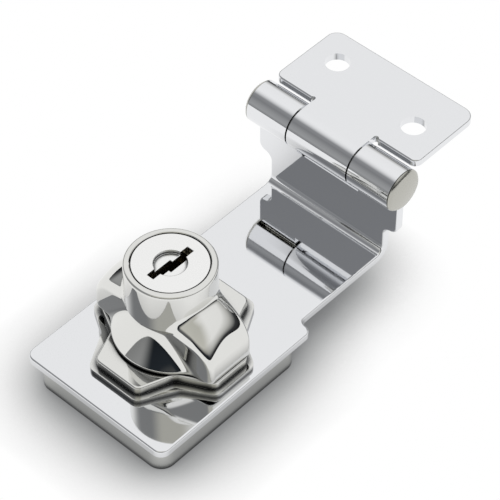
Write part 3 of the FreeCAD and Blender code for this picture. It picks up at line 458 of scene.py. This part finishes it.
def box_grid(low: Corner, high: Corner) -> np.ndarray:
    """Grid of a box: a pole under its middle, four corners below, four above, and a pole on top.

    Args:
        low: Its lowest corner.
        high: Its highest corner.

    Returns:
        The points, as closed_mesh takes them.
    """
    x = np.array([low[0], high[0], high[0], low[0]])
    y = np.array([low[1], low[1], high[1], high[1]])
    middle = np.full((2, 4), [[x.mean()], [y.mean()]])
    rows = ((*middle, low[2]), (x, y, low[2]), (x, y, high[2]), (*middle, high[2]))
    return np.stack([np.stack([a, b, np.full(4, z)], axis=-1) for a, b, z in rows])


def turn_profile(profile: np.ndarray, columns: int) -> np.ndarray:
    """Turns a half section about Z: each point (radius, height) becomes a circle of that radius there.

    Args:
        profile: Points (radius, height), walked so that the solid lies on the left.
        columns: How many points each circle has.

    Returns:
        The points, as rows by columns by three.
    """
    angle = np.linspace(0, 2 * np.pi, columns, endpoint=False)
    radius, height = profile[:, :1], profile[:, 1:]
    return np.stack(np.broadcast_arrays(radius * np.cos(angle), radius * np.sin(angle), height), axis=-1)


def arc(centre: Pair, radius: float, start: float, end: float, count: int) -> np.ndarray:
    """Points on a circle: the centre plus radius times (cos, sin) of evenly spaced angles.

    Args:
        centre: Middle of the circle.
        radius: Its radius.
        start: First angle, in degrees.
        end: Last angle, in degrees.
        count: How many points.

    Returns:
        The points, as count by two.
    """
    angle = np.radians(np.linspace(start, end, count))
    return np.stack([centre[0] + radius * np.cos(angle), centre[1] + radius * np.sin(angle)], axis=-1)


def rounded_inside(first: np.ndarray, second: np.ndarray, radius: float | np.ndarray) -> np.ndarray:
    """Signed distance to the overlap of two solids with its edge rounded.

    Outside the rounding it is the larger distance; within radius of both faces it is the length of the
    two depths measured from a line that lies radius inside both, less radius.

    Args:
        first: Signed distances to the first solid, negative inside.
        second: The same for the second solid.
        radius: Radius of the rounding.

    Returns:
        Signed distances to the rounded overlap.
    """
    near = np.hypot(np.maximum(first + radius, 0), np.maximum(second + radius, 0))
    return np.minimum(-radius, np.maximum(first, second)) + near


def rounded_joint(first: np.ndarray, second: np.ndarray, radius: float | np.ndarray) -> np.ndarray:
    """Signed distance to two solids joined with a hollow fillet: their outsides' overlap, turned over."""
    return -rounded_inside(-first, -second, radius)


@dataclass
class Knob:
    """The turning knob: a cylinder with two tapered wings, a finger scoop all round and a skirt.

    A pair is a distance from the axis and a height, unless its line says otherwise.
    """

    # cylinder and skirt, with the radius of the rim, the angle its rings start at, and their number
    bottom: float = 10.25
    top: float = 27.1
    radius: float = 8.15
    rim: float = 0.5
    rim_start: float = 10.0
    rim_points: int = 8
    skirt: float = 10.7
    skirt_top: float = 10.9
    bottom_edge: float = 0.25
    # finger scoop: its waist, and the power that hollows its cone
    scoop_top: float = 18.6
    scoop_waist: Pair = (7.25, 17.2)
    scoop_hollow: float = 1.12
    # wings: half widths at the axis and at the tip, reach, crest on the axis, place where the top meets
    # the bowed end, radii of the bow, of its turn into the top and of the long edges, and the crown
    wing_root: float = 6.9
    wing_tip: float = 5.1
    wing_reach: float = 13.9
    wing_height: float = 25.8
    shoulder: Pair = (11.2, 20.8)
    wing_bow: float = 15.0
    wing_turn: float = 2.5
    wing_edge: float = 0.9
    wing_crown: float = 0.1
    # height above which the cylinder is bare
    wings_end: float = 24.0
    # hollow fillet between wings and cylinder, wider in the scoop, and how far above it the widening starts
    fillet: float = 0.6
    low_fillet: float = 1.2
    fillet_rise: float = 1.0
    # lock's mouth and bore, hub, journal and square tang with its tapped hole (radius and depth)
    mouth: float = 6.95
    mouth_edge: float = 0.12
    mouth_floor: float = 25.4
    bore: float = 6.25
    bore_floor: float = 12.0
    hub: float = 6.4
    hub_bottom: float = 7.5
    journal: float = 2.6
    journal_bottom: float = 5.85
    tang: float = 3.4
    tang_bottom: float = 1.9
    tapping: Pair = (0.95, 5.0)
    drive_hole: Pair = (2.3, 9.5)
    # bolt's channel: lowest and highest place, half widths, step between them, and reach past the hub
    bolt_span: Pair = (8.35, 9.65)
    bolt_half_widths: Pair = (2.9, 1.9)
    bolt_step: float = -3.76
    bolt_past_hub: float = 1.3
    bolt_play: float = 0.06
    # hole for the pin that keeps the lock's sleeve in: radius, height and inner end
    pin_hole: float = 0.6
    pin_height: float = 14.3
    pin_start: float = 5.0
    # the grid: columns all round and round the pin's hole, halvings of the search for the side, how far
    # past the wings the search starts, and the turn in degrees above which an edge stays sharp
    columns: int = 360
    hole_columns: int = 32
    halvings: int = 40
    margin: float = 3.0
    crease: float = 28.0
    # widths of the broken edges of what moves with the knob
    edges: dict[str, float] = field(default_factory=lambda: {
        "catch_bar": 0.12, "catch_washer": 0.12, "catch_screw": 0.12, "cylinder_housing": 0.0,
        "housing_pin": 0.0,
    })

    @staticmethod
    def arc_centre(start: np.ndarray, end: np.ndarray, radius: float, side: float) -> np.ndarray:
        """Middle of the circle of a given radius through two points, on the given side of their chord.

        Args:
            start: First point.
            end: Second point.
            radius: The circle's radius.
            side: 1 for the left of the way from start to end, -1 for the right.

        Returns:
            The middle.
        """
        chord = end - start
        length = np.hypot(*chord)
        left = np.array([-chord[1], chord[0]]) / length
        return (start + end) / 2 + side * left * math.sqrt(radius ** 2 - (length / 2) ** 2)

    def core(self, across: np.ndarray, height: np.ndarray) -> np.ndarray:
        """Signed distance to the turned core: the radius there less the core's own radius at that height.

        The core is the skirt below, a slightly hollow cone that comes in to the waist of the finger scoop,
        a short curve out again, and the cylinder on top.

        Args:
            across: Distance from the axis.
            height: Height, of the same shape.

        Returns:
            Signed distances, negative inside.
        """
        waist, waist_height = self.scoop_waist
        down = np.clip((waist_height - height) / (waist_height - self.skirt_top), 0, 1)
        up = np.clip((height - waist_height) / (self.scoop_top - waist_height), 0, 1)
        hollow = waist + (self.skirt - waist) * down ** self.scoop_hollow + (self.radius - waist) * up ** 2
        own = np.where(height < self.scoop_top, hollow, self.radius)
        return across - own

    def wing(self, x: np.ndarray, y: np.ndarray, height: np.ndarray) -> np.ndarray:
        """Signed distance to both wings: the rounded overlap of a top, an end and tapered sides.

        The sides are upright planes that come in evenly from root to tip. The top falls evenly from the
        axis outward, less crown times the square of y. The end is a circle, seen from the side, that bows
        from the shoulder down to the tip's foot.

        Args:
            x: Place across the plate.
            y: Place along the plate.
            height: Height.

        Returns:
            Signed distances, negative inside.
        """
        out = np.abs(x)
        taper = (self.wing_root - self.wing_tip) / self.wing_reach
        sides = (np.abs(y) - self.wing_root + taper * out) / math.hypot(1, taper)
        fall = (self.wing_height - self.shoulder[1]) / self.shoulder[0]
        ridge = self.wing_height - fall * out
        steepness = np.sqrt(1 + fall ** 2 + (2 * self.wing_crown * y) ** 2)
        slope = (height - ridge + self.wing_crown * y ** 2) / steepness
        start, end = np.array(self.shoulder), np.array([self.wing_reach, self.bottom])
        centre = self.arc_centre(start, end, self.wing_bow, -1)
        bowed = np.hypot(out - centre[0], height - centre[1]) - self.wing_bow
        return rounded_inside(rounded_inside(slope, bowed, self.wing_turn), sides, self.wing_edge)

    def outside(self, x: np.ndarray, y: np.ndarray, height: np.ndarray) -> np.ndarray:
        """Signed distance to the whole outer form: core and wings joined with a fillet, foot edge broken.

        Args:
            x: Place across the plate.
            y: Place along the plate.
            height: Height.

        Returns:
            Signed distances, negative inside.
        """
        widening = self.scoop_top + self.fillet_rise
        low = np.clip((widening - height) / (self.scoop_top - self.bottom), 0, 1)
        fillet = self.fillet + (self.low_fillet - self.fillet) * low
        joined = rounded_joint(self.core(np.hypot(x, y), height), self.wing(x, y, height), fillet)
        return rounded_inside(joined, self.bottom - height, self.bottom_edge)

    def angles(self) -> np.ndarray:
        """The grid's angles: evenly spaced all round, one for each column."""
        return np.linspace(0, 2 * np.pi, self.columns, endpoint=False)

    def heights(self) -> np.ndarray:
        """The side's heights: close together at every edge, even between the edges.

        Returns:
            The heights, climbing.
        """
        foot = self.bottom + np.array([0.0, 0.02, 0.05, 0.1, 0.16, 0.25, 0.45])      # the broken foot edge
        spans = (
            (self.skirt_top - 0.02, self.skirt_top + 0.02, 2),       # the skirt's edge
            (self.skirt_top + 0.15, self.scoop_top - 0.25, 34),      # the scoop
            (self.scoop_top - 0.12, self.scoop_top + 0.12, 5),       # the scoop's upper edge
            (self.scoop_top + 0.2, self.wings_end, 52),              # the wings' tops
            (self.wings_end + 0.3, self.top - self.rim, 8),          # the bare cylinder
        )
        return np.concatenate([foot, *(np.linspace(*span) for span in spans)])

    def side_rows(self) -> np.ndarray:
        """Works the outer side out on a grid of angles and heights.

        For each angle and height the radius is the place where the signed distance changes sign, found by
        halving the span between the hub and a circle outside the wings.

        Returns:
            The points, as heights by angles by three.
        """
        angle, height = np.meshgrid(self.angles(), self.heights())
        cos, sin = np.cos(angle), np.sin(angle)
        low, high = np.full(angle.shape, self.hub), np.full(angle.shape, self.wing_reach + self.margin)
        for _ in range(self.halvings):
            middle = (low + high) / 2
            inside = self.outside(middle * cos, middle * sin, height) < 0
            low, high = np.where(inside, middle, low), np.where(inside, high, middle)
        return np.stack([low * cos, low * sin, height], axis=-1)

    def openings(self) -> tuple[np.ndarray, ...]:
        """Grids of what is cut through the casting: the bolt's two-step channel and the sleeve's pin hole.

        The channel is wide from its step on towards the hinge and narrow the other way, and larger than
        the bolt by the play. The hole runs level towards the hinge.

        Returns:
            The grids, as closed_mesh takes them.
        """
        low, high = self.bolt_span[0] - self.bolt_play, self.bolt_span[1] + self.bolt_play
        wide, narrow = (half + self.bolt_play for half in self.bolt_half_widths)
        out, step = self.hub + self.bolt_past_hub, self.bolt_step
        section = [(0.0, self.pin_start), (self.pin_hole, self.pin_start), (self.pin_hole, self.skirt),
                   (0.0, self.skirt)]
        hole = turn_profile(np.array(section), self.hole_columns)
        return (
            box_grid((-wide, step, low), (wide, out, high)),
            box_grid((-narrow, -out, low), (narrow, step + self.bolt_play, high)),
            np.stack([hole[..., 0], hole[..., 2], self.pin_height - hole[..., 1]], axis=-1),
        )

    def rings(self, walk: list[tuple[float | np.ndarray, float]]) -> np.ndarray:
        """Rings about the axis, one for each step of a walk over the surface.

        Args:
            walk: Radius, or one radius for each angle, and height of each ring.

        Returns:
            The points, as rings by angles by three.
        """
        cos, sin = np.cos(self.angles()), np.sin(self.angles())
        return np.array([
            np.stack(np.broadcast_arrays(radius * cos, radius * sin, height), axis=-1)
            for radius, height in walk
        ])

    def below(self) -> np.ndarray:
        """Rings of the tapped hole, the square tang, the journal and the hub, up to the skirt's foot.

        The tang's radius at an angle is half its width over the larger of the cosine and the sine.

        Returns:
            The points, as rings by angles by three.
        """
        angle = self.angles()
        square = self.tang / 2 / np.maximum(np.abs(np.cos(angle)), np.abs(np.sin(angle)))
        tapping, depth = self.tapping
        return self.rings([
            (0.0, self.tang_bottom + depth), (tapping, self.tang_bottom + depth), (tapping, self.tang_bottom),
            (square, self.tang_bottom), (square, self.journal_bottom), (self.journal, self.journal_bottom),
            (self.journal, self.hub_bottom), (self.hub, self.hub_bottom), (self.hub, self.bottom),
        ])

    def above(self) -> np.ndarray:
        """Rings of the rounded rim, the lock's mouth and bore, and the hole for its drive pin.

        The side's last row is the rim at 0 degrees, so its own rings start a few degrees up.

        Returns:
            The points, as rings by angles by three.
        """
        centre = (self.radius - self.rim, self.top - self.rim)
        rim = arc(centre, self.rim, self.rim_start, 90, self.rim_points)
        hole, hole_floor = self.drive_hole
        return self.rings([
            *rim.tolist(), (self.mouth + self.mouth_edge, self.top), (self.mouth, self.top - self.mouth_edge),
            (self.mouth, self.mouth_floor), (self.bore, self.mouth_floor), (self.bore, self.bore_floor),
            (hole, self.bore_floor), (hole, hole_floor), (0.0, hole_floor),
        ])

    def build(self, bench: Bench) -> None:
        """Builds the casting from its tang up, over its outer side and down into its bore."""
        grid = np.concatenate([self.below(), self.side_rows(), self.above()])
        bench.piece("knob_casting", grid, "knob", "knob_shell", sharp=self.crease, cutters=self.openings())
        bench.dress_all(self.edges)


@dataclass
class Hinge:
    """The barrel: pin with its formed head at +X and its cap at -X, turned about the hinge axis."""

    # hinge axis, and the knuckles' outer faces
    axis_y: float = 40.9
    axis_z: float = 25.05
    inner: float = 16.55
    # pin and caps: radii, straight edge, dome's height and points, chamfer, spigot that holds the cap
    pin: float = 2.6
    head: float = 4.1
    edge: float = 0.6
    inner_edge: float = 0.08
    dome: float = 0.3
    dome_points: int = 14
    chamfer: float = 0.42
    spigot: float = 1.5
    spigot_play: float = 0.02
    columns: int = 96
    leaf_edge: float = 0.1

    def laid(self, profile: np.ndarray, way: int) -> np.ndarray:
        """Turns a half section about the hinge axis.

        Args:
            profile: Points (radius, place along X), with places growing.
            way: 1 if the section is as drawn, -1 if it is seen from the other end.

        Returns:
            The points, as rows by columns by three.
        """
        grid = turn_profile(profile, self.columns)
        x = way * grid[..., 2]
        return np.stack([x, self.axis_y + way * grid[..., 0], self.axis_z + grid[..., 1]], axis=-1)

    def end_cap(self) -> np.ndarray:
        """Half section of a cap from its inner face out: straight edge, small chamfer, shallow dome.

        The dome's sphere has the radius (r squared + h squared) / 2h, for a dome h high and r wide.

        Returns:
            Points (radius, place along X).
        """
        wide = self.head - self.chamfer
        sphere = (wide ** 2 + self.dome ** 2) / (2 * self.dome)
        tilt = math.degrees(math.asin(wide / sphere))
        top = self.inner + self.edge
        dome = arc((0.0, top + self.dome - sphere), sphere, 90 - tilt, 90, self.dome_points)
        rim = [(self.head - self.inner_edge, self.inner), (self.head, self.inner + self.inner_edge),
               (self.head, top - self.chamfer)]
        return np.vstack([rim, dome])

    def build(self, bench: Bench) -> None:
        """Builds the pin with its head, and the cap, then dresses the leaf."""
        cap = self.end_cap()
        seat = self.inner + self.edge / 2
        shank = [(0.0, -seat), (self.spigot, -seat), (self.spigot, -self.inner), (self.pin, -self.inner),
                 (self.pin, self.inner)]
        bench.piece("pin_with_head", self.laid(np.vstack([shank, cap]), 1), "hasp", "hinge_pin")
        socket = self.spigot + self.spigot_play
        hollow = [(0.0, seat), (socket, seat), (socket, self.inner)]
        bench.piece("pin_end_cap", self.laid(np.vstack([hollow, cap]), -1), "hasp", "pin_cap")
        bench.dress("hinge_leaf", self.leaf_edge)


@dataclass
class LockCore:
    """The wafer lock: round chrome face, plug, clip, wafers, springs and the bolt that it drives."""

    edges: dict[str, float] = field(default_factory=lambda: {
        "plug_face": 0.14, "key_plug": 0.0, "plug_clip": 0.0, "wafer_springs": 0.0, "wafer_1": 0.0,
        "wafer_2": 0.0, "wafer_3": 0.0, "wafer_4": 0.0, "locking_bolt": 0.1,
    })

    def build(self, bench: Bench) -> None:
        """Dresses every piece of the lock."""
        bench.dress_all(self.edges)


@dataclass
class Plates:
    """The folded hasp plate, the seat that is screwed to it and the cast strike under it."""

    edges: dict[str, float] = field(default_factory=lambda: {
        "hasp_plate": 0.1, "knob_seat": 0.15, "seat_screws": 0.0, "strike_base": 0.15,
    })

    def build(self, bench: Bench) -> None:
        """Dresses the sheet, the castings and the seat's screws."""
        bench.dress_all(self.edges)


@dataclass
class Studio:
    """The camera, the floor and the light."""

    target_mm: Corner = (-3.95, 24.08, 8.0)
    azimuth: float = 42.67
    elevation: float = 47.35
    distance_mm: float = 448.88
    lens_mm: float = 180.0
    clip_start_mm: float = 10.0
    # floor: white card with a painted soft shadow, grey from ambient occlusion, as far from the lock as
    # shadow_mm
    floor_m: float = 4.0
    floor_drop_mm: float = 0.05
    floor_colour: str = "#EFEFEF"
    floor_roughness: float = 0.9
    shadow_mm: float = 15.0
    shadow_samples: int = 24
    shadow: Stops = ((0.0, "#484949"), (0.4, "#868788"), (0.65, "#B4B5B5"), (0.85, "#DEDEDE"),
                     (0.985, "#FFFFFF"))
    # light by the height of its direction, from level at 0 to overhead at 1: a white wall behind, a grey
    # one on the left in front, and on the right in front one that is black below and warm grey above
    behind: Stops = ((0.0, "#1A1B1D"), (0.12, "#3C3D3F"), (0.3, "#C8C8C6"), (0.5, "#FAFAFA"),
                     (1.0, "#FFFFFF"))
    left: Stops = ((0.0, "#8A8B8C"), (0.2, "#A4A5A6"), (0.45, "#9A9B9C"), (0.66, "#858688"),
                   (0.8, "#949597"), (0.93, "#FFFFFF"))
    right: Stops = ((0.0, "#1A1E22"), (0.2, "#262B31"), (0.3, "#8C8B87"), (0.5, "#D2D1CA"),
                    (0.8, "#C8C7C0"), (0.93, "#FFFFFF"))
    # where one wall fades into the next: left to right by X, behind to front by Y
    fade_x: Pair = (-0.25, 0.15)
    fade_y: Pair = (0.1, -0.38)

    def camera(self) -> None:
        """Places the camera where the photograph was taken from.

        Its place is the target plus the distance along a line that is turned by the azimuth from -Y
        towards +X and raised by the elevation.
        """
        turn, rise = math.radians(self.azimuth), math.radians(self.elevation)
        back = Vector((math.sin(turn) * math.cos(rise), -math.cos(turn) * math.cos(rise), math.sin(rise)))
        data = bpy.data.cameras.new("camera")
        data.lens = self.lens_mm
        data.clip_start = self.clip_start_mm * MM
        camera = bpy.data.objects.new("camera", data)
        camera.location = (Vector(self.target_mm) + back * self.distance_mm) * MM
        camera.rotation_mode = "QUATERNION"
        camera.rotation_quaternion = (-back).to_track_quat("-Z", "Y")
        bpy.context.scene.collection.objects.link(camera)
        bpy.context.scene.camera = camera

    def floor_material(self) -> bpy.types.Material:
        """Makes the floor's material.

        The camera, and rays that a mirror or a clear piece sends on, see it glow: white further off, and a
        painted grey shadow, from ambient occlusion, where the lock shuts the sky out. All other rays meet a
        plain pale card.

        Returns:
            The material.
        """
        made = bpy.data.materials.new("pale_floor")
        made.use_nodes = True
        tree = made.node_tree
        lit = tree.nodes["Principled BSDF"]
        lit.inputs["Base Color"].default_value = linear(self.floor_colour)
        lit.inputs["Roughness"].default_value = self.floor_roughness
        # painted shadow: ambient occlusion ramped to grey in the floor's glow
        shut = add_node(tree, "ShaderNodeAmbientOcclusion", {"Distance": self.shadow_mm * MM},
                        samples=self.shadow_samples)
        pale = ramp(tree, shut.outputs["AO"], self.shadow)
        shown = add_node(tree, "ShaderNodeEmission", {"Color": pale, "Strength": 1.0})
        rays = add_node(tree, "ShaderNodeLightPath")
        seen = rays.outputs["Is Camera Ray"]
        for kind in ("Is Glossy Ray", "Is Transmission Ray"):
            either = add_node(tree, "ShaderNodeMath", {0: seen, 1: rays.outputs[kind]}, operation="MAXIMUM")
            seen = either.outputs[0]
        mixed = add_node(tree, "ShaderNodeMixShader", {0: seen, 1: lit.outputs[0], 2: shown.outputs[0]})
        tree.links.new(mixed.outputs[0], tree.nodes["Material Output"].inputs["Surface"])
        return made

    def floor(self) -> None:
        """Lays a plain pale floor, a hair under the lock."""
        half = self.floor_m / 2
        mesh = bpy.data.meshes.new("floor")
        corners = [(-half, -half), (half, -half), (half, half), (-half, half)]
        mesh.from_pydata([(x, y, -self.floor_drop_mm * MM) for x, y in corners], [], [(0, 1, 2, 3)])
        floor = bpy.data.objects.new("floor", mesh)
        mesh.materials.append(self.floor_material())
        bpy.context.scene.collection.objects.link(floor)

    def world(self) -> None:
        """Surrounds the lock with a soft studio: white above and behind, grey in front, dark low down."""
        world = bpy.data.worlds.new("studio")
        world.use_nodes = True
        bpy.context.scene.world = world
        tree = world.node_tree
        direction = add_node(tree, "ShaderNodeTexCoord").outputs["Generated"]
        part = add_node(tree, "ShaderNodeSeparateXYZ", {"Vector": direction}).outputs

        def fade(axis: str, span: Pair, first: bpy.types.NodeSocket,
                 second: bpy.types.NodeSocket) -> bpy.types.NodeSocket:
            """Fades one colour into another along an axis of the direction."""
            share = add_node(tree, "ShaderNodeMapRange", {
                "Value": part[axis], "From Min": span[0], "From Max": span[1],
            }, interpolation_type="SMOOTHSTEP")
            mix = add_node(tree, "ShaderNodeMix", {
                0: share.outputs["Result"], MIX_FIRST: first, MIX_SECOND: second,
            }, data_type="RGBA")
            return mix.outputs[MIX_RESULT]

        walls = (self.behind, self.left, self.right)
        behind, left, right = (ramp(tree, part["Z"], stops) for stops in walls)
        front = fade("X", self.fade_x, left, right)
        sky = fade("Y", self.fade_y, behind, front)
        tree.links.new(sky, tree.nodes["Background"].inputs["Color"])

    def build(self) -> None:
        """Makes the camera, the floor and the light."""
        self.camera()
        self.floor()
        self.world()
        bpy.context.scene.view_settings.view_transform = "Standard"
        log.info("built the studio")


def main() -> None:
    """Builds and dresses the sub-assemblies in order, then sets up the studio."""
    logging.basicConfig(level=logging.INFO, format="%(name)s: %(message)s")
    bench = Bench()
    for assembly in (Plates(), Hinge(), Knob(), LockCore()):
        assembly.build(bench)
    Studio().build()


if __name__ == "__main__":
    main()
